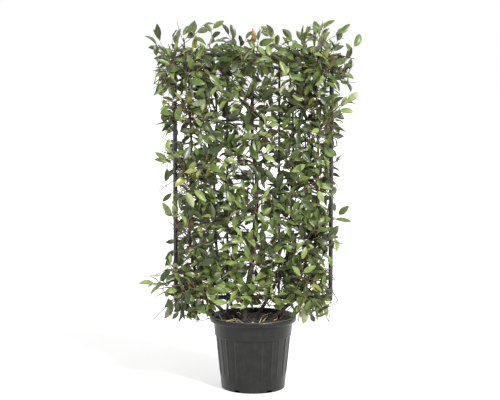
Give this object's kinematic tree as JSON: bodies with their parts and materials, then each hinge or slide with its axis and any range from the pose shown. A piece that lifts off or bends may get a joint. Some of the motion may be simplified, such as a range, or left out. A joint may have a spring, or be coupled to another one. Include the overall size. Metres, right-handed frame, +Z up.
{
  "type": "potted photinia espalier",
  "caption": "Broad-leaved evergreen shrub trained flat on an upright steel trellis that stands in a round fluted plastic pot of compost.",
  "frame": {"origin": "centre of the pot's flat underside, on the ground it stands on", "axes": "+Z up, -Y towards the plant's front, +X to its right as seen from the front"},
  "size_m": [0.909, 0.36, 1.522],
  "materials": {
    "pot_plastic": "moulded charcoal grey polypropylene, satin",
    "compost": "moist dark potting compost with dry twigs",
    "trellis_steel": "near-black satin powder coat on steel",
    "bark": "grey-brown finely fissured bark",
    "foliage": "glossy mid-green leaves with paler undersides, a few yellow-green and bronze young ones"
  },
  "bodies": {
    "root": {"pot": "pot_plastic", "soil": "compost", "post_left": "trellis_steel", "post_right": "trellis_steel", "top_rail": "trellis_steel", "bottom_rail": "trellis_steel", "leg_left": "trellis_steel", "leg_right": "trellis_steel", "upright_wire_left": "trellis_steel", "upright_wire_middle": "trellis_steel", "upright_wire_right": "trellis_steel", "cross_wire_1": "trellis_steel", "cross_wire_2": "trellis_steel", "cross_wire_3": "trellis_steel", "cross_wire_4": "trellis_steel", "main_stem": "bark", "stem_left_outer": "bark", "stem_right_outer": "bark", "stem_left_inner": "bark", "stem_right_inner": "bark", "foliage_front_left_1": "foliage", "foliage_front_left_2": "foliage", "foliage_front_left_3": "foliage", "foliage_front_left_4": "foliage", "foliage_front_left_5": "foliage", "foliage_front_middle_1": "foliage", "foliage_front_middle_2": "foliage", "foliage_front_middle_3": "foliage", "foliage_front_middle_4": "foliage", "foliage_front_middle_5": "foliage", "foliage_front_middle_6": "foliage", "foliage_front_right_1": "foliage", "foliage_front_right_2": "foliage", "foliage_front_right_3": "foliage", "foliage_front_right_4": "foliage", "foliage_front_right_5": "foliage", "foliage_back_left_1": "foliage", "foliage_back_left_2": "foliage", "foliage_back_left_3": "foliage", "foliage_back_left_4": "foliage", "foliage_back_left_5": "foliage", "foliage_back_right_1": "foliage", "foliage_back_right_2": "foliage", "foliage_back_right_3": "foliage", "foliage_back_right_4": "foliage", "foliage_back_right_5": "foliage"}
  },
  "joints": []
}
